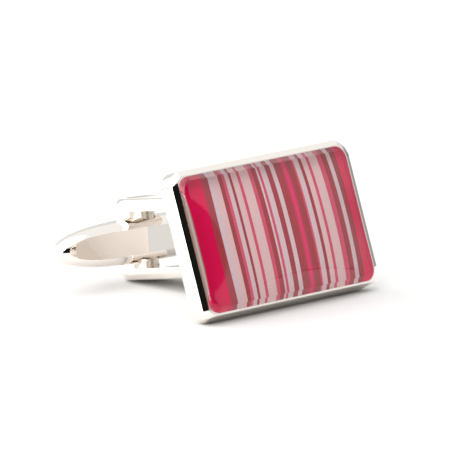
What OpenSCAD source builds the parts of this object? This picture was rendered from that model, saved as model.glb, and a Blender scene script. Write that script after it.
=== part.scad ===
// Cufflink with a rectangular striped head and a swivelling bar.
// It lies as it would on a table: the head leans back on its lower edge and on the fork's far end.
// X runs along the head's long side, the head faces -Y, and Z is up. All sizes are in millimetres.

/* [Head] */
// Length of the head's long side
head_w = 20; // [16:0.5:24]
// Length of the head's short side
head_h = 12; // [10:0.5:16]
// Thickness of the tray, from its back to its lip
tray_t = 1.9; // [1.6:0.1:3]
// Radius of the tray's corners, seen from the front
corner_r = 1.2; // [1.2:0.1:3]
// Width of the bevel round the front, seen from the front
bevel_w = 0.42; // [0.3:0.02:0.5]
// Depth of that bevel
bevel_d = 0.3; // [0.2:0.05:0.4]
// Width of the flat lip between the bevel and the inlay
lip_w = 0.12; // [0.08:0.02:0.2]
// Radius of the tray's rounded back edge
back_r = 0.5; // [0.3:0.05:0.8]
// Thickness of the tray's floor
floor_t = 0.5; // [0.4:0.1:0.9]

/* [Inlay] */
// Thickness of the striped plate
plate_t = 0.15; // [0.1:0.05:0.4]
// Height of the resin's rounded edge above the lip
resin_stand = 0.42; // [0.3:0.02:0.6]
// Radius of the resin's rounded edge
resin_edge = 0.4; // [0.2:0.05:0.4]
// Height of the gentle dome above the rounded edge
dome_rise = 0.85; // [0.4:0.05:1.2]
// Layer of glue round the plate and the resin
glue = 0.03; // [0.02:0.01:0.05]

/* [Fork] */
// Distance from the tray's back to the pivot
post_l = 12.9; // [11.5:0.1:16]
// Clear height between the two arms
arm_gap = 4.5; // [4.2:0.1:6]
// Width of each arm, and the diameter of its round end
arm_w = 4; // [3.6:0.1:5]
// Thickness of each arm
arm_t = 1; // [0.8:0.1:1.4]
// Radius of each arm's rounded outer edges
arm_edge_r = 0.5; // [0.2:0.05:0.7]
// Width of the foot that is soldered to the tray
foot_w = 8; // [4.4:0.2:9]
// Height of the foot
foot_h = 7.6; // [7.2:0.2:10]
// Thickness of the foot
foot_t = 0.8; // [0.75:0.05:1.2]
// Radius of the foot's corners
foot_r = 0.6; // [0.3:0.1:1.2]
// Small turn of the fork about its own length, in degrees
fork_twist = 1.6; // [0:0.2:3]

/* [Toggle] */
// Length of the bar from tip to tip
toggle_l = 20; // [17:0.5:22]
// Largest diameter of the bar
toggle_d = 3.7; // [3.2:0.1:4]
// Fullness of the bar's outline, where 2 is an ellipse
toggle_fullness = 2.5; // [2:0.1:3]
// Distance from the bar's middle line to its flattened side, which faces the head
flat_side = 1.55; // [1.4:0.05:1.8]
// Radius of the slight bow of that side, along the bar
flat_bow = 68; // [50:2:100]
// Distance that the bar has slid down the pin
toggle_drop = 0.1; // [0:0.05:0.2]

/* [Pin] */
// Diameter of the pin
pin_d = 2; // [1.6:0.1:2.2]
// Running clearance between the pin and the bar, on the radius
pin_clear = 0.04; // [0.02:0.01:0.08]
// Clearance between the pin and the arms, on the radius
seat_clear = 0.02; // [0.02:0.01:0.04]
// Width and height of the flare that rivets each end of the pin
rivet_flare = 0.15; // [0.1:0.05:0.25]

/* [Pose] */
// Lean of the head, in degrees back from upright
head_lean = 19.5; // [17:0.5:22]
// Distance from the lip's middle to the middle of the footprint
footprint_y = 7.42; // [6:0.01:9]

/* [Hidden] */
$fn = 96;

// How the cufflink rests. The arms slope so that the lower one's far end touches the table.
head_z = (head_h / 2 - back_r) * cos(head_lean) + (tray_t - back_r) * sin(head_lean) + back_r;
post_z = head_z - tray_t * sin(head_lean);
end_reach = post_l + arm_w / 2 - arm_edge_r;
end_depth = arm_gap / 2 + arm_t - arm_edge_r;
post_slope = asin((post_z - arm_edge_r) / norm([end_reach, end_depth])) - atan2(end_depth, end_reach);

rim_w = bevel_w + lip_w;
recess_w = head_w - 2 * rim_w;
recess_h = head_h - 2 * rim_w;
recess_r = corner_r - rim_w;
plate_z = -tray_t + floor_t + glue;
dome_z = plate_z + plate_t + glue;
resin_w = recess_w - 2 * glue;
resin_h = recess_h - 2 * glue;
resin_r = recess_r - glue;
crown_edge = resin_h / 2 - resin_edge - 0.05;
pin_reach = arm_gap / 2 + arm_t;
overlap = 0.2;

// Steps of the bar's outline, from its middle to a tip
toggle_steps = 20;

// The head's own frame: x along its long side, y up its short side, z out of its front, and the lip at z = 0
module head_frame() {
    translate([0, -footprint_y, head_z])
        rotate([90 - head_lean, 0, 0])
            children();
}

// The fork's own frame: the arms run along -z from the tray's back, and the pin runs along y
module fork_frame() {
    translate([0, tray_t * cos(head_lean) - footprint_y, post_z])
        rotate([90 - post_slope, 0, 0])
            rotate([0, 0, -fork_twist])
                children();
}

// The fork's frame with the pivot at the origin and the pin along z
module pivot_frame() {
    fork_frame()
        translate([0, 0, -post_l])
            rotate([-90, 0, 0])
                children();
}

module rounded_plate(w, h, r, z0, z1) {
    translate([0, 0, z0])
        linear_extrude(z1 - z0)
            union() {
                square([w - 2 * r, h], center = true);
                square([w, h - 2 * r], center = true);
                for (sx = [-1, 1], sy = [-1, 1])
                    translate([sx * (w / 2 - r), sy * (h / 2 - r)])
                        circle(r);
            }
}

// Quarter of a disc, for the rounded edges of a section
module quarter(r) {
    intersection() {
        circle(r);
        square(r);
    }
}

// Half of the tray's section, from a corner's centre outwards, with its lip at y = 0
module tray_section() {
    translate([0, -tray_t])
        square([corner_r - back_r, tray_t]);
    translate([0, -tray_t + back_r])
        square([corner_r, tray_t - back_r - bevel_d]);
    polygon([[0, -bevel_d], [corner_r, -bevel_d], [corner_r - bevel_w, 0], [0, 0]]);
    translate([corner_r - back_r, -tray_t + back_r])
        mirror([0, 1])
            quarter(back_r);
}

// Block with rounded corners, whose sides and corners all have the given section
module swept_block(w, h, r, z0, z1) {
    side_w = w - 2 * r;
    side_h = h - 2 * r;
    translate([-side_w / 2, -side_h / 2, z0])
        cube([side_w, side_h, z1 - z0]);
    for (turn = [0, 180])
        rotate([0, 0, turn]) {
            translate([side_w / 2, side_h / 2, 0])
                rotate([90, 0, 0])
                    linear_extrude(side_h)
                        children();
            translate([-side_w / 2, side_h / 2, 0])
                rotate([90, 0, 90])
                    linear_extrude(side_w)
                        children();
            translate([side_w / 2, side_h / 2, 0])
                rotate_extrude(angle = 90)
                    children();
            translate([-side_w / 2, side_h / 2, 0])
                rotate([0, 0, 90])
                    rotate_extrude(angle = 90)
                        children();
        }
}

module tray_blank() {
    swept_block(head_w, head_h, corner_r, -tray_t, 0)
        tray_section();
}

// Half of an arm's section, with the inner face at y = 0 and its outer corner rounded
module arm_half_section() {
    square([arm_w / 2 - arm_edge_r, arm_t]);
    square([arm_w / 2, arm_t - arm_edge_r]);
    translate([arm_w / 2 - arm_edge_r, arm_t - arm_edge_r])
        circle(arm_edge_r);
}

// One arm in the pivot's frame, on the side that z points to
module arm() {
    translate([0, 0, arm_gap / 2]) {
        rotate_extrude(angle = 180)
            arm_half_section();
        rotate([90, 0, 0])
            linear_extrude(post_l)
                union() {
                    arm_half_section();
                    mirror([1, 0])
                        arm_half_section();
                }
    }
}

// Pin of radius r in the pivot's frame, flared at both ends
module riveted_pin(r) {
    cylinder(h = 2 * pin_reach, r = r, center = true);
    for (turn = [0, 180])
        rotate([turn, 0, 0])
            translate([0, 0, pin_reach - rivet_flare])
                cylinder(h = rivet_flare, r1 = r, r2 = r + rivet_flare);
}

module fork() {
    difference() {
        pivot_frame() {
            arm();
            mirror([0, 0, 1])
                arm();
        }
        pivot_frame()
            riveted_pin(pin_d / 2 + seat_clear);
    }
}

module tray_and_fork() {
    color("silver")
        difference() {
            union() {
                head_frame() {
                    tray_blank();
                    rounded_plate(foot_w, foot_h, foot_r, -tray_t - foot_t, -tray_t + overlap);
                }
                fork();
            }
            head_frame()
                rounded_plate(recess_w, recess_h, recess_r, -tray_t + floor_t, overlap);
        }
}

module striped_plate() {
    color("crimson")
        head_frame()
            rounded_plate(resin_w, resin_h, resin_r, plate_z, plate_z + plate_t);
}

// Half of the resin's section, from a corner's centre outwards, with the lip at y = 0
module resin_section() {
    translate([0, dome_z])
        square([resin_r, resin_stand - resin_edge - dome_z]);
    translate([0, resin_stand - resin_edge])
        square([resin_r - resin_edge, resin_edge]);
    translate([resin_r - resin_edge, resin_stand - resin_edge])
        quarter(resin_edge);
}

// Half of the crown's section, from its middle outwards
module crown_section() {
    crown_r = (crown_edge * crown_edge + dome_rise * dome_rise) / (2 * dome_rise);
    intersection() {
        translate([0, resin_stand - overlap])
            square([crown_edge, overlap + dome_rise]);
        translate([0, resin_stand + dome_rise - crown_r])
            circle(crown_r);
    }
}

module resin_dome() {
    crown_x = (resin_w - resin_h) / 2;
    color("mistyrose", 0.5)
        head_frame()
            union() {
                swept_block(resin_w, resin_h, resin_r, dome_z, resin_stand)
                    resin_section();
                for (turn = [0, 180])
                    rotate([0, 0, turn]) {
                        translate([crown_x, 0, 0])
                            rotate([0, 0, -90])
                                rotate_extrude(angle = 180)
                                    crown_section();
                        translate([crown_x, 0, 0])
                            rotate([90, 0, -90])
                                linear_extrude(2 * crown_x)
                                    crown_section();
                    }
            }
}

module pivot_pin() {
    color("gainsboro")
        pivot_frame()
            riveted_pin(pin_d / 2);
}

// Half of the bar's outline: x is the distance from the middle along the bar, and y is the radius there
function toggle_radius(t) = toggle_d / 2 * pow(max(0, 1 - pow(abs(t), toggle_fullness)), 1 / toggle_fullness);

module toggle() {
    outline = [
        for (i = [-toggle_steps : toggle_steps])
            let (t = sin(90 * i / toggle_steps))
            [toggle_radius(t), t * toggle_l / 2]
    ];
    color("lightgray")
        pivot_frame()
            difference() {
                intersection() {
                    translate([0, 0, -toggle_drop])
                        rotate([0, 90, 0])
                            rotate_extrude()
                                polygon(outline);
                    translate([0, flat_bow - flat_side, 0])
                        cylinder(h = toggle_d + 1, r = flat_bow, center = true, $fn = 720);
                }
                cylinder(h = toggle_d + 1, r = pin_d / 2 + pin_clear, center = true);
            }
}

tray_and_fork();
striped_plate();
resin_dome();
pivot_pin();
toggle();
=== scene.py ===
import bmesh
import bpy
from math import asin, atan2, cos, hypot, pi, radians, sin
from mathutils import Matrix, Vector


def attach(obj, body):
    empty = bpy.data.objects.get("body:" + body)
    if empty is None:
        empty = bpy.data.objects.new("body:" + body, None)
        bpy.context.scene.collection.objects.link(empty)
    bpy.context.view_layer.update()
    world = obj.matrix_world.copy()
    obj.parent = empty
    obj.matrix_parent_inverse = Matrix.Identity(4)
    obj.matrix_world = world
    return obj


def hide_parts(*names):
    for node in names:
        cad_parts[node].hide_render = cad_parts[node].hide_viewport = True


# A cufflink with a striped rectangular head, lying on a white table.
# Pieces are modelled in millimetres and brought to metres when they are finished.
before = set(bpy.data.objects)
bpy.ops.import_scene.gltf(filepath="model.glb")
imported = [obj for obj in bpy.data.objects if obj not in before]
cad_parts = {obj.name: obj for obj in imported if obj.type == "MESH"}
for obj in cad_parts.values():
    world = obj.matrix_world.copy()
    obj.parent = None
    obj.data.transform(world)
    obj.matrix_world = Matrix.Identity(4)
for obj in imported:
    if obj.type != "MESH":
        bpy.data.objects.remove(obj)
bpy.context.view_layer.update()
scene = bpy.context.scene
print("frame loaded:", ", ".join(sorted(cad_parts)))

perMetre = 1000
tiny = 1e-5         # millimetres between two places that count as one
hardEdge = 30       # degrees between faces from which shading breaks
segments = {        # in each rounding
    "corner": 16, "footCorner": 8, "armTip": 32,
    "backEdge": 12, "footEdge": 4, "armEdge": 10, "resinEdge": 32, "worn": 3,
    "pin": 96, "barLength": 120, "barRound": 160, "table": 128,
}

tray = {
    "width": 20, "height": 12, "depth": 1.9,
    "corners": (1.2, 1.6),    # radii at the left and the right end, seen from the front
    "recessCorner": 1.06,
    "bevel": 0.42,            # width of the bevel round the front
    "bevelDepth": 0.3,
    "lip": 0.12,              # flat lip between the bevel and the inlay
    "lowBevel": (0.34, 1.3),  # width and depth of the steeper bevel along the lower edge
    "rightRise": 0.15,        # how much higher the bevel's outer edge is at the right end
    "risenBand": 0.045,       # half height of what is raised with that edge
    "backEdge": 0.5,
    "floor": 0.5,
    "soften": 0.03,           # worn edges of the bevel and the lip
    "lean": 19.5,             # degrees back from upright
    "footprint": 7.42,        # from the lip's middle to the middle of the footprint
}
fork = {
    "length": 12.9, "gap": 4.5, "width": 4.0, "thickness": 1.0,
    "edge": 0.5, "innerEdge": 0.05,
    "footWidth": 8.0, "footHeight": 7.6, "footDepth": 0.8, "footCorner": 0.6, "footEdge": 0.12,
    "footSink": 0.05,         # how far the foot goes into the tray's back
    "twist": 1.6,             # degrees about its own length
}

# The arms slope so that the lower one's far end touches the table
lean = radians(tray["lean"])
headZ = (
    (tray["height"] / 2 - tray["backEdge"]) * cos(lean)
    + (tray["depth"] - tray["backEdge"]) * sin(lean)
    + tray["backEdge"]
)
postZ = headZ - tray["depth"] * sin(lean)
endReach = fork["length"] + fork["width"] / 2 - fork["edge"]
endDepth = fork["gap"] / 2 + fork["thickness"] - fork["edge"]
slope = asin((postZ - fork["edge"]) / hypot(endReach, endDepth)) - atan2(endDepth, endReach)

headFrame = Matrix.Translation((0, -tray["footprint"], headZ)) @ Matrix.Rotation(pi / 2 - lean, 4, "X")
forkFrame = (
    Matrix.Translation((0, tray["depth"] * cos(lean) - tray["footprint"], postZ))
    @ Matrix.Rotation(pi / 2 - slope, 4, "X")
    @ Matrix.Rotation(-radians(fork["twist"]), 4, "Z")
)
pivotFrame = forkFrame @ Matrix.Translation((0, 0, -fork["length"])) @ Matrix.Rotation(-pi / 2, 4, "X")


# Helpers for meshes
def roundOff(bm, parts, radius, steps, affect="EDGES"):
    bmesh.ops.bevel(bm, geom=parts, offset=radius, offset_type="OFFSET", segments=steps,
                    profile=0.5, material=-1, affect=affect, clamp_overlap=False)


# A flat sheet with one corner radius at its left end and one at its right end
def roundedSheet(width, height, left, right, steps=segments["corner"]):
    bm = bmesh.new()
    corners = [(-width, -height), (width, -height), (width, height), (-width, height)]
    bm.faces.new([bm.verts.new((x / 2, y / 2, 0)) for x, y in corners])
    for end, radius in ((-1, left), (1, right)):
        roundOff(bm, [v for v in bm.verts if v.co.x * end > 0], radius, steps, "VERTICES")
    return bm


def lift(bm, rise):
    bmesh.ops.translate(bm, verts=bm.verts[:], vec=(0, 0, rise))


def thicken(bm, rise):
    made = bmesh.ops.extrude_face_region(bm, geom=bm.faces[:])["geom"]
    moved = [v for v in made if isinstance(v, bmesh.types.BMVert)]
    bmesh.ops.translate(bm, verts=moved, vec=(0, 0, rise))
    bmesh.ops.recalc_face_normals(bm, faces=bm.faces[:])


def edgesAt(bm, z, keep=lambda place: True):
    return [e for e in bm.edges if all(abs(v.co.z - z) < tiny and keep(v.co) for v in e.verts)]


def sliceAt(bm, place, normal, drop=False):
    cut = bmesh.ops.bisect_plane(bm, geom=bm.verts[:] + bm.edges[:] + bm.faces[:], dist=tiny / 10,
                                 plane_co=place, plane_no=normal, clear_outer=drop)["geom_cut"]
    return [e for e in cut if isinstance(e, bmesh.types.BMEdge)]


def spun(points, axis, steps):
    bm = bmesh.new()
    line = [bm.verts.new(p) for p in points]
    edges = [bm.edges.new(pair) for pair in zip(line, line[1:])]
    bmesh.ops.spin(bm, geom=line + edges, cent=(0, 0, 0), axis=axis, angle=2 * pi,
                   steps=steps, use_merge=True)
    bmesh.ops.remove_doubles(bm, verts=bm.verts[:], dist=tiny)
    bmesh.ops.recalc_face_normals(bm, faces=bm.faces[:])
    return bm


# A boolean works on objects, so both shapes become objects for a moment
def carve(bm, cutter, operation="DIFFERENCE"):
    things = []
    for name, source in (("blank", bm), ("cutter", cutter)):
        mesh = bpy.data.meshes.new(name)
        source.to_mesh(mesh)
        source.free()
        things.append(bpy.data.objects.new(name, mesh))
        scene.collection.objects.link(things[-1])
    cut = things[0].modifiers.new("cut", "BOOLEAN")
    cut.operation = operation
    cut.object = things[1]
    cut.solver = "EXACT"
    bpy.context.view_layer.update()
    finished = things[0].evaluated_get(bpy.context.evaluated_depsgraph_get())
    carved = bpy.data.meshes.new_from_object(finished)
    out = bmesh.new()
    out.from_mesh(carved)
    for thing in things:
        old = thing.data
        bpy.data.objects.remove(thing)
        bpy.data.meshes.remove(old)
    bpy.data.meshes.remove(carved)
    return out


def addTo(bm, other):
    mesh = bpy.data.meshes.new("part")
    other.to_mesh(mesh)
    other.free()
    bm.from_mesh(mesh)
    bpy.data.meshes.remove(mesh)


def finishPiece(name, bm, place, body, nodes, material, even=True):
    bmesh.ops.transform(bm, matrix=Matrix.Scale(1 / perMetre, 4) @ place, verts=bm.verts[:])
    mesh = bpy.data.meshes.new(name)
    bm.to_mesh(mesh)
    bm.free()
    mesh.shade_smooth()
    mesh.set_sharp_from_angle(angle=radians(hardEdge))
    mesh.materials.append(material)
    piece = bpy.data.objects.new(name, mesh)
    scene.collection.objects.link(piece)
    if even:
        weighted = piece.modifiers.new("even shading", "WEIGHTED_NORMAL")
        weighted.keep_sharp = True
    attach(piece, body)
    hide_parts(*nodes)
    print("made", name, "with", len(mesh.polygons), "faces")
    return piece


# Helpers for materials and for the light. A value is a number, a colour or another node's output.
def feed(tree, socket, value):
    if isinstance(value, bpy.types.NodeSocket):
        tree.links.new(value, socket)
    else:
        socket.default_value = value


def newMaterial(name, inputs):
    material = bpy.data.materials.new(name)
    material.use_nodes = True
    tree = material.node_tree
    shader = tree.nodes["Principled BSDF"]
    for socket, value in inputs.items():
        shader.inputs[socket].default_value = value
    return material, tree, shader


def mathNode(tree, operation, *values):
    node = tree.nodes.new("ShaderNodeMath")
    node.operation = operation
    for socket, value in zip(node.inputs, values):
        feed(tree, socket, value)
    return node.outputs[0]


def mapNode(tree, value, given, wanted=(0, 1), kind="SMOOTHSTEP"):
    node = tree.nodes.new("ShaderNodeMapRange")
    node.interpolation_type = kind
    ends = {"From Min": given[0], "From Max": given[1], "To Min": wanted[0], "To Max": wanted[1]}
    for socket, end in {"Value": value, **ends}.items():
        feed(tree, node.inputs[socket], end)
    return node.outputs["Result"]


def mixNode(tree, amount, first, second, data="FLOAT", blend="MIX"):
    node = tree.nodes.new("ShaderNodeMix")
    node.data_type = data
    node.blend_type = blend
    for socket, value in (("Factor", amount), ("A", first), ("B", second)):
        feed(tree, node.inputs[socket], value)
    return node.outputs["Result"]


def noiseNode(tree, place, scale, detail):
    node = tree.nodes.new("ShaderNodeTexNoise")
    for socket, value in (("Vector", place), ("Scale", scale), ("Detail", detail)):
        feed(tree, node.inputs[socket], value)
    return node.outputs["Fac"]


# Polished metal: smears change its roughness, and fine scratches its height
wear = {
    "smearScale": 420, "smearDetail": 3,
    "scratchScale": 5200, "scratchDetail": 2,
    "bumpStrength": 0.1, "bumpDistance": 0.000002,  # metres
}
metals = {
    "polished rhodium": {"colour": (0.93, 0.875, 0.82), "Roughness": 0.02, "Smear": 0.02, "Scratch": 0.2},
    "polished pin": {"colour": (0.62, 0.56, 0.49), "Roughness": 0.25, "Smear": 0.06, "Scratch": 0.3},
}


def polishGroup():
    group = bpy.data.node_groups.new("polished wear", "ShaderNodeTree")
    for name in ("Roughness", "Smear", "Scratch"):
        group.interface.new_socket(name=name, in_out="INPUT", socket_type="NodeSocketFloat")
    for name in ("Roughness", "Height"):
        group.interface.new_socket(name=name, in_out="OUTPUT", socket_type="NodeSocketFloat")
    given = group.nodes.new("NodeGroupInput").outputs
    made = group.nodes.new("NodeGroupOutput").inputs
    place = group.nodes.new("ShaderNodeTexCoord").outputs["Object"]
    smears = noiseNode(group, place, wear["smearScale"], wear["smearDetail"])
    fine = noiseNode(group, place, wear["scratchScale"], wear["scratchDetail"])
    roughness = mathNode(group, "MULTIPLY_ADD", smears, given["Smear"], given["Roughness"])
    feed(group, made["Roughness"], roughness)
    feed(group, made["Height"], mathNode(group, "MULTIPLY", fine, given["Scratch"]))
    return group


polish = polishGroup()


def polishedMetal(name):
    metal = metals[name]
    material, tree, shader = newMaterial(name, {"Base Color": (*metal["colour"], 1), "Metallic": 1})
    worn = tree.nodes.new("ShaderNodeGroup")
    worn.node_tree = polish
    for socket in ("Roughness", "Smear", "Scratch"):
        worn.inputs[socket].default_value = metal[socket]
    bump = tree.nodes.new("ShaderNodeBump")
    bump.inputs["Strength"].default_value = wear["bumpStrength"]
    bump.inputs["Distance"].default_value = wear["bumpDistance"]
    feed(tree, bump.inputs["Height"], worn.outputs["Height"])
    feed(tree, shader.inputs["Roughness"], worn.outputs["Roughness"])
    feed(tree, shader.inputs["Normal"], bump.outputs["Normal"])
    return material


settingMetal = polishedMetal("polished rhodium")
pinMetal = polishedMetal("polished pin")
print("metals ready")

# Setting: tray, foot and fork arms, soldered into one
rim = tray["bevel"] + tray["lip"]
recess = (tray["width"] - 2 * rim, tray["height"] - 2 * rim)
steepAngle = 1      # radians between the faces at an edge that gets worn
nearRecess = 0.001  # millimetres round the recess in which its edges are looked for


def raiseRightEnd(bm):
    for v in bm.verts:
        toRight = (v.co.x - tray["width"] / 2) / tray["corners"][1] + 1
        if toRight > 0 and abs(v.co.z + tray["bevelDepth"]) < tray["risenBand"]:
            v.co.z += tray["rightRise"] * toRight * (2 - toRight)


def steepenLowBevel(bm):
    wide, deep = tray["lowBevel"]
    onBevel = -tray["bevelDepth"] * (tray["bevel"] - wide) / tray["bevel"]
    cut = sliceAt(bm, (0, wide - tray["height"] / 2, onBevel), (0, -deep - onBevel, wide), drop=True)
    facet = bmesh.ops.contextual_create(bm, geom=cut)["faces"][0]
    roundOff(bm, facet.edges[:], tray["soften"], segments["worn"])


def recessEdges(bm):
    x, y = (size / 2 + nearRecess for size in recess)
    inside = edgesAt(bm, 0, lambda place: abs(place.x) < x and abs(place.y) < y)
    return [e for e in inside if abs(e.calc_face_angle(0)) > steepAngle]


def trayShape():
    side = tray["depth"] - tray["bevelDepth"]
    bm = roundedSheet(tray["width"], tray["height"], *tray["corners"])
    thicken(bm, -side)
    roundOff(bm, edgesAt(bm, -side), tray["backEdge"], segments["backEdge"])
    top = [f for f in bm.faces if all(abs(v.co.z) < tiny for v in f.verts)]
    bmesh.ops.inset_region(bm, faces=top, thickness=tray["bevel"], depth=tray["bevelDepth"],
                           use_even_offset=True)
    lift(bm, -tray["bevelDepth"])
    bevelEdges = edgesAt(bm, -tray["bevelDepth"]) + edgesAt(bm, 0)
    roundOff(bm, bevelEdges, tray["soften"], segments["worn"])
    hollow = roundedSheet(*recess, tray["recessCorner"], tray["recessCorner"])
    thicken(hollow, tray["depth"])
    lift(hollow, tray["floor"] - tray["depth"])
    bm = carve(bm, hollow)
    raiseRightEnd(bm)
    steepenLowBevel(bm)
    roundOff(bm, recessEdges(bm), tray["soften"], segments["worn"])
    return bm


def footShape():
    corner = fork["footCorner"]
    bm = roundedSheet(fork["footWidth"], fork["footHeight"], corner, corner, segments["footCorner"])
    thicken(bm, fork["footDepth"] + fork["footSink"])
    roundOff(bm, edgesAt(bm, 0), fork["footEdge"], segments["footEdge"])
    lift(bm, -tray["depth"] - fork["footDepth"])
    return bm


pin = {
    "radius": 1.0,
    "flare": 0.15,      # of its riveted ends
    "seatClear": 0.02,  # between it and the arms
    "barClear": 0.04,   # between it and the bar
    "drillPast": 0.3,   # how far the arms' holes are drilled past the pin's ends
}
pinReach = fork["gap"] / 2 + fork["thickness"]


# With both values it is the drill for the arms' holes
def pinShape(grow=0.0, past=0.0):
    radius = pin["radius"] + grow
    wide = radius + pin["flare"]
    upper = [(0, 0, pinReach + past), (wide, 0, pinReach + past)]
    if past:
        upper.append((wide, 0, pinReach))
    upper.append((radius, 0, pinReach - pin["flare"]))
    return spun(upper + [(x, y, -z) for x, y, z in reversed(upper)], (0, 0, 1), segments["pin"])


def armShape(side):
    half, reach = fork["width"] / 2, fork["length"]
    bm = bmesh.new()
    corners = [(-half, -reach, 0), (half, -reach, 0), (half, half, 0), (-half, half, 0)]
    verts = [bm.verts.new(corner) for corner in corners]
    bm.faces.new(verts)
    roundOff(bm, verts[2:], half, segments["armTip"], "VERTICES")
    bmesh.ops.remove_doubles(bm, verts=bm.verts[:], dist=10 * tiny)
    thicken(bm, fork["thickness"])
    roundOff(bm, edgesAt(bm, fork["thickness"]), fork["edge"], segments["armEdge"])
    roundOff(bm, edgesAt(bm, 0), fork["innerEdge"], segments["worn"])
    lift(bm, fork["gap"] / 2)
    if side < 0:
        bmesh.ops.scale(bm, verts=bm.verts[:], vec=(1, 1, -1))
        bmesh.ops.reverse_faces(bm, faces=bm.faces[:])
    return carve(bm, pinShape(pin["seatClear"], pin["drillPast"]))


setting = trayShape()
addTo(setting, footShape())
bmesh.ops.transform(setting, matrix=headFrame, verts=setting.verts[:])
for side in (1, -1):
    arm = armShape(side)
    bmesh.ops.transform(arm, matrix=pivotFrame, verts=arm.verts[:])
    addTo(setting, arm)
finishPiece("setting", setting, Matrix.Identity(4), "head", ["tray_and_fork"], settingMetal)
finishPiece("pin", pinShape(), pivotFrame, "head", ["pivot_pin"], pinMetal)

# Bar that swivels on the pin
bar = {
    "length": 20, "diameter": 3.7,
    "fullness": 2.5,    # 2 is an ellipse
    "flatSide": 1.55,   # from the pin's axis to the nearly flat side that faces the head
    "flatBow": 68,      # radius of that side's curve
    "flatReach": 12, "flatPoints": 10,  # half the curve's length, and its points in a millimetre
    "drop": 0.1,        # slid down the pin
}


def barBlank():
    power, steps = bar["fullness"], segments["barLength"]
    along = [-cos(pi * k / steps) for k in range(steps + 1)]
    radii = [bar["diameter"] / 2 * max(0, 1 - abs(t) ** power) ** (1 / power) for t in along]
    points = [(t * bar["length"] / 2, radius, 0) for t, radius in zip(along, radii)]
    bm = spun(points, (1, 0, 0), segments["barRound"])
    lift(bm, -bar["drop"])
    return bm


def flatSideBlock(reach):
    end, count = bar["flatReach"], bar["flatReach"] * bar["flatPoints"]
    curve = [k / bar["flatPoints"] for k in range(-count, count + 1)]
    front = [(x, x ** 2 / (2 * bar["flatBow"]) - bar["flatSide"], -reach) for x in curve]
    bm = bmesh.new()
    bm.faces.new([bm.verts.new(p) for p in front + [(end, reach, -reach), (-end, reach, -reach)]])
    thicken(bm, 2 * reach)
    return bm


def barShape():
    reach = bar["diameter"]
    radius = pin["radius"] + pin["barClear"]
    bm = carve(barBlank(), flatSideBlock(reach), "INTERSECT")
    bore = [(0, 0, reach), (radius, 0, reach), (radius, 0, -reach), (0, 0, -reach)]
    return carve(bm, spun(bore, (0, 0, 1), segments["pin"]))


finishPiece("swivel_bar", barShape(), pivotFrame, "bar", ["toggle"], settingMetal)

# Clear resin over the striped plate
inlay = {
    "plate": 0.15, "glue": 0.03,
    "shoulder": 0.42,       # height of the steep edge above the lip
    "rightShoulder": 0.12,  # and at the right end
    "fallFrom": 5.5,        # where it starts to fall towards that end
    "edge": 0.4,            # width of the steep edge
    "bevelled": 1.0,        # 0 leaves it rounded, and 1 makes it a flat bevel along the long sides
    "bevelFrom": 1.2,       # how far from the ends the bevel is complete
    "rise": 0.85,           # of the gentle dome above the edge
    "flatness": 0.4,        # 0 is evenly curved, and more is flatter in the middle
    "overlap": 0.02,        # the resin wets the plate and the walls
    "grid": 0.2,            # size of its top's faces
}
# Painted reflection: a dark brownish, partly clear resin on the steep faces turned towards the ends
# stands in for the beige and brown reflection in the resin's edge
paintedReflection = {
    "colour": (0.15, 0.11, 0.085), "clear": 0.25, "roughness": 0.12,
    "steep": 0.66,          # how far a face is turned towards an end before it gets the painted reflection
    "steeper": 0.40,        # what is added to that near the corners
    "reach": 4.6,           # from the long axis to where all of it is added
}
resinSize = [size + 2 * inlay["overlap"] for size in recess]
resinCorner = tray["recessCorner"] + inlay["overlap"]
resinBase = -tray["depth"] + tray["floor"] + inlay["glue"] + inlay["plate"] - inlay["overlap"]


# 1 in the middle and 0 at both sides, where t is -1 and 1
def swell(t):
    return (1 - t * t) * (1 + inlay["flatness"] * t * t) if abs(t) < 1 else 0


def shoulderAt(x):
    t = min(1, max(0, (x - inlay["fallFrom"]) / (resinSize[0] / 2 - inlay["fallFrom"])))
    return inlay["shoulder"] + (inlay["rightShoulder"] - inlay["shoulder"]) * t * t * (3 - 2 * t)


# Where a place on the block with its rounded edge comes to lie in the dome
def resinHeight(x, y, z):
    edge = inlay["edge"]
    if z < edge - tiny:
        bevelled = edge - (edge * edge - z * z) ** 0.5
        along = min(1, (resinSize[0] / 2 - abs(x)) / inlay["bevelFrom"])
        z += (bevelled - z) * along * along * inlay["bevelled"]
    dome = swell(2 * x / resinSize[0]) * swell(2 * y / resinSize[1])
    return z * shoulderAt(x) / edge + inlay["rise"] * dome


def resinShape():
    bm = roundedSheet(*resinSize, resinCorner, resinCorner)
    thicken(bm, resinBase - inlay["edge"])
    roundOff(bm, edgesAt(bm, 0), inlay["edge"], segments["resinEdge"])
    lift(bm, inlay["edge"])
    for axis, size in enumerate(resinSize):
        cuts = int(size / inlay["grid"])
        across = Vector((axis == 0, axis == 1, 0))
        for k in range(1, cuts):
            sliceAt(bm, across * (k / cuts - 0.5) * size, across)
    for v in bm.verts:
        if v.co.z > tiny:
            v.co.z = resinHeight(*v.co)
    return bm


def clearResin():
    inputs = {"Base Color": (1, 1, 1, 1), "Roughness": 0, "IOR": 1.5, "Transmission Weight": 1}
    return newMaterial("clear resin", inputs)[0]


# Material of the painted reflection on the resin's steep edge
def paintedReflectionResin():
    inputs = {"Base Color": (*paintedReflection["colour"], 1), "Roughness": paintedReflection["roughness"]}
    return newMaterial("resin edge with painted reflection", {**inputs, "Transmission Weight": paintedReflection["clear"]})[0]


# Gives the painted reflection material to the crown's faces that turn towards the ends
def paintReflectionOnEnds(crown):
    crown.data.materials.append(paintedReflectionResin())
    toHead = headFrame.inverted()
    for face in crown.data.polygons:
        spot = toHead @ (face.center * perMetre)
        needed = paintedReflection["steep"] + paintedReflection["steeper"] * (spot.y / paintedReflection["reach"]) ** 4
        if spot.z > 0 and abs(face.normal.x) > needed:
            face.material_index = 1


crown = finishPiece("resin_crown", resinShape(), headFrame, "head", ["resin_dome"],
                    clearResin(), even=False)
paintReflectionOnEnds(crown)

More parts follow.
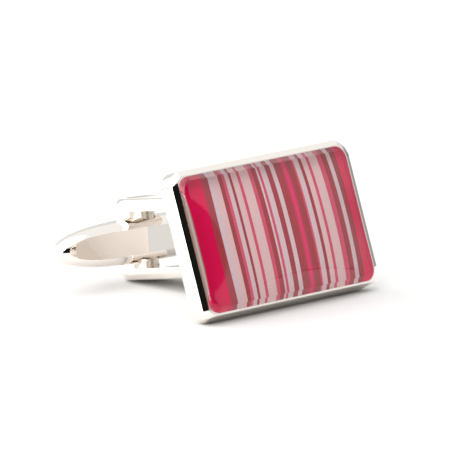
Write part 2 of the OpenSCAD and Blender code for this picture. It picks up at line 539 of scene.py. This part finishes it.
# Striped plate
palette = {
    "crimson": (0.86, 0.012, 0.105),
    "rose": (0.93, 0.03, 0.14),
    "maroon": (0.455, 0.07, 0.088),
    "plum": (0.45, 0.052, 0.068),
    "pink": (0.76, 0.10, 0.19),
    "silver": (0.82, 0.655, 0.69),
    "beige": (0.885, 0.635, 0.635),
}
# Left edge of each stripe in millimetres from the plate's middle
stripes = [
    (-9.7, "crimson"), (-6.51, "maroon"), (-5.85, "silver"), (-5.31, "beige"), (-4.76, "plum"),
    (-4.32, "pink"), (-3.99, "silver"), (-3.59, "plum"), (-3.29, "beige"), (-2.67, "pink"),
    (-2.36, "beige"), (-1.40, "pink"), (-1.00, "plum"), (-0.47, "silver"), (-0.28, "pink"),
    (-0.02, "silver"), (0.58, "plum"), (1.12, "silver"), (1.57, "plum"), (3.64, "pink"),
    (3.86, "silver"), (4.41, "plum"), (4.74, "beige"), (5.29, "pink"), (5.62, "beige"),
    (6.52, "pink"), (6.98, "plum"), (7.53, "silver"), (7.98, "plum"), (8.60, "rose"),
]
glowStripe = {"middle": 2.68, "half": 0.5, "colour": (0.86, 0.045, 0.18)}  # soft at both sides
grain = {"scale": 9000, "detail": 2, "range": (0.93, 1.06)}                # of the print
printFinish = {"Roughness": 0.5, "Specular IOR Level": 0}


def stripeRamp(tree, across, low, high):
    behind = [stripe for stripe in stripes if stripe[0] <= low][-1:]
    ramp = tree.nodes.new("ShaderNodeValToRGB")
    stops = ramp.color_ramp.elements
    ramp.color_ramp.interpolation = "CONSTANT"
    for k, (left, name) in enumerate(behind + [stripe for stripe in stripes if low < stripe[0] < high]):
        place = max(0, (left - low) / (high - low))
        stop = stops[k] if k < 2 else stops.new(place)
        stop.position = place
        stop.color = (*palette[name], 1)
    span = (low / perMetre, high / perMetre)
    feed(tree, ramp.inputs["Fac"], mapNode(tree, across, span, kind="LINEAR"))
    return ramp.outputs["Color"]


# A ramp has 256 steps, so each half of the plate has one of its own
def stripeColour(tree, across):
    halves = [stripeRamp(tree, across, low, low + tray["width"] / 2) for low in (-tray["width"] / 2, 0)]
    return mixNode(tree, mathNode(tree, "GREATER_THAN", across, 0), *halves, data="RGBA")


def stripedMaterial():
    material, tree, shader = newMaterial("striped plate", printFinish)
    place = tree.nodes.new("ShaderNodeTexCoord").outputs["Object"]
    split = tree.nodes.new("ShaderNodeSeparateXYZ")
    feed(tree, split.inputs[0], place)
    across = split.outputs["X"]
    away = mathNode(tree, "SUBTRACT", across, glowStripe["middle"] / perMetre)
    away = mathNode(tree, "ABSOLUTE", away)
    glow = mapNode(tree, away, (glowStripe["half"] / perMetre, 0))
    colour = mixNode(tree, glow, stripeColour(tree, across), (*glowStripe["colour"], 1), data="RGBA")
    specks = noiseNode(tree, place, grain["scale"], grain["detail"])
    tone = mapNode(tree, specks, (0, 1), grain["range"], kind="LINEAR")
    printed = mixNode(tree, 1, colour, tone, data="RGBA", blend="MULTIPLY")
    feed(tree, shader.inputs["Base Color"], printed)
    return material


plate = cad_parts["striped_plate"]
plate.data.materials.clear()
plate.data.materials.append(stripedMaterial())
print("inlay ready")

# Table, in metres
table = {"radius": 0.25, "colour": (0.58, 0.575, 0.57), "roughness": 0.8, "specular": 0.2}


def tableMesh():
    bm = bmesh.new()
    bmesh.ops.create_circle(bm, cap_ends=True, segments=segments["table"], radius=table["radius"])
    mesh = bpy.data.meshes.new("table")
    bm.to_mesh(mesh)
    bm.free()
    inputs = {"Base Color": (*table["colour"], 1), "Roughness": table["roughness"]}
    paper = newMaterial("white table", {**inputs, "Specular IOR Level": table["specular"]})[0]
    mesh.materials.append(paper)
    return mesh


floor = bpy.data.objects.new("table", tableMesh())
scene.collection.objects.link(floor)

# Camera
camera = {
    "place": (-0.587954, -0.559729, 0.170381),  # metres
    "right": (0.68832, -0.72541, 0.0),
    "up": (0.14451, 0.13712, 0.97996),
    "lens": 835.8, "sensor": 36,
    "clip": (0.01, 10),
}


def addCamera():
    eye = bpy.data.cameras.new("camera")
    eye.lens = camera["lens"]
    eye.sensor_width = camera["sensor"]
    eye.clip_start, eye.clip_end = camera["clip"]
    view = bpy.data.objects.new("camera", eye)
    right, up = Vector(camera["right"]).normalized(), Vector(camera["up"]).normalized()
    turn = Matrix((right, up, right.cross(up))).transposed()
    view.matrix_world = Matrix.Translation(camera["place"]) @ turn.to_4x4()
    scene.collection.objects.link(view)
    scene.camera = view


addCamera()

# Light tent of white cloth. Directions round it are in degrees from -Y towards +X, heights in
# degrees above the table. In each pair of edges the patch starts at the first and is full at the second.
tent = {
    "right": 1.0,       # brightness of the cloth at the right
    "rightHigh": 1.25,  # the right cloth's upper part
    "highEdge": (26, 34),
    "left": 3.6,        # brightness of the cloth at the left
    "leftEdge": (-50, -65),
    "below": 0.02,      # under the table's level
    "seen": 1,          # what the camera itself sees
}
patches = {
    "low part at the far right": {
        "light": 0.42, "start": (75.1, 80.9), "end": (114.9, 109.1), "top": (16, 8),
    },
    "low bright panel at the left": {
        "light": 7.0, "start": (-60, -64.6), "end": (-114.6, -110), "top": (35, 32),
    },
    "dark gap": {
        "light": 0.012, "start": (-47, -44.7), "end": (32.1, 29.9), "top": (45, 39),
    },
}
# The edges of a lamp are in degrees from its middle
lamps = {
    "left of the camera": {"light": 6.0, "place": (-0.62, -0.33, 0.71), "edge": (28, 18)},
    "broad, above": {"light": 3.2, "place": (-0.15, 0.1, 0.97), "edge": (42, 30)},
    "behind, at the left": {"light": 3.6, "place": (-0.5, 0.35, 0.79), "edge": (30, 18)},
}


def angles(edge):
    return [radians(a) for a in edge]


def heights(edge):
    return [sin(radians(a)) for a in edge]


def patchMask(tree, azimuth, z, patch):
    start = mapNode(tree, azimuth, angles(patch["start"]))
    end = mapNode(tree, azimuth, angles(patch["end"]))
    sides = mathNode(tree, "MULTIPLY", start, end)
    return mathNode(tree, "MULTIPLY", sides, mapNode(tree, z, heights(patch["top"])))


def lampMask(tree, direction, lamp):
    toLamp = tree.nodes.new("ShaderNodeVectorMath")
    toLamp.operation = "DOT_PRODUCT"
    toLamp.inputs[1].default_value = Vector(lamp["place"]).normalized()
    feed(tree, toLamp.inputs[0], direction)
    return mapNode(tree, toLamp.outputs["Value"], [cos(radians(a)) for a in lamp["edge"]])


def clothLight(tree, direction):
    split = tree.nodes.new("ShaderNodeSeparateXYZ")
    feed(tree, split.inputs[0], direction)
    x, y, z = (split.outputs[axis] for axis in "XYZ")
    azimuth = mathNode(tree, "ARCTAN2", x, mathNode(tree, "MULTIPLY", y, -1))
    high = mapNode(tree, z, heights(tent["highEdge"]))
    cloth = mixNode(tree, high, tent["right"], tent["rightHigh"])
    cloth = mixNode(tree, mapNode(tree, azimuth, angles(tent["leftEdge"])), cloth, tent["left"])
    for patch in patches.values():
        cloth = mixNode(tree, patchMask(tree, azimuth, z, patch), cloth, patch["light"])
    for lamp in lamps.values():
        cloth = mixNode(tree, lampMask(tree, direction, lamp), cloth, lamp["light"])
    return mixNode(tree, mathNode(tree, "LESS_THAN", z, 0), cloth, tent["below"])


def lightTent():
    world = bpy.data.worlds.new("light tent")
    world.use_nodes = True
    tree = world.node_tree
    tree.nodes.clear()
    direction = tree.nodes.new("ShaderNodeTexCoord").outputs["Generated"]
    direct = tree.nodes.new("ShaderNodeLightPath").outputs["Is Camera Ray"]
    glow = tree.nodes.new("ShaderNodeBackground")
    feed(tree, glow.inputs["Strength"], mixNode(tree, direct, clothLight(tree, direction), tent["seen"]))
    out = tree.nodes.new("ShaderNodeOutputWorld")
    feed(tree, out.inputs[0], glow.outputs[0])
    return world


scene.world = lightTent()
scene.view_settings.view_transform = "Standard"
print("stage ready")
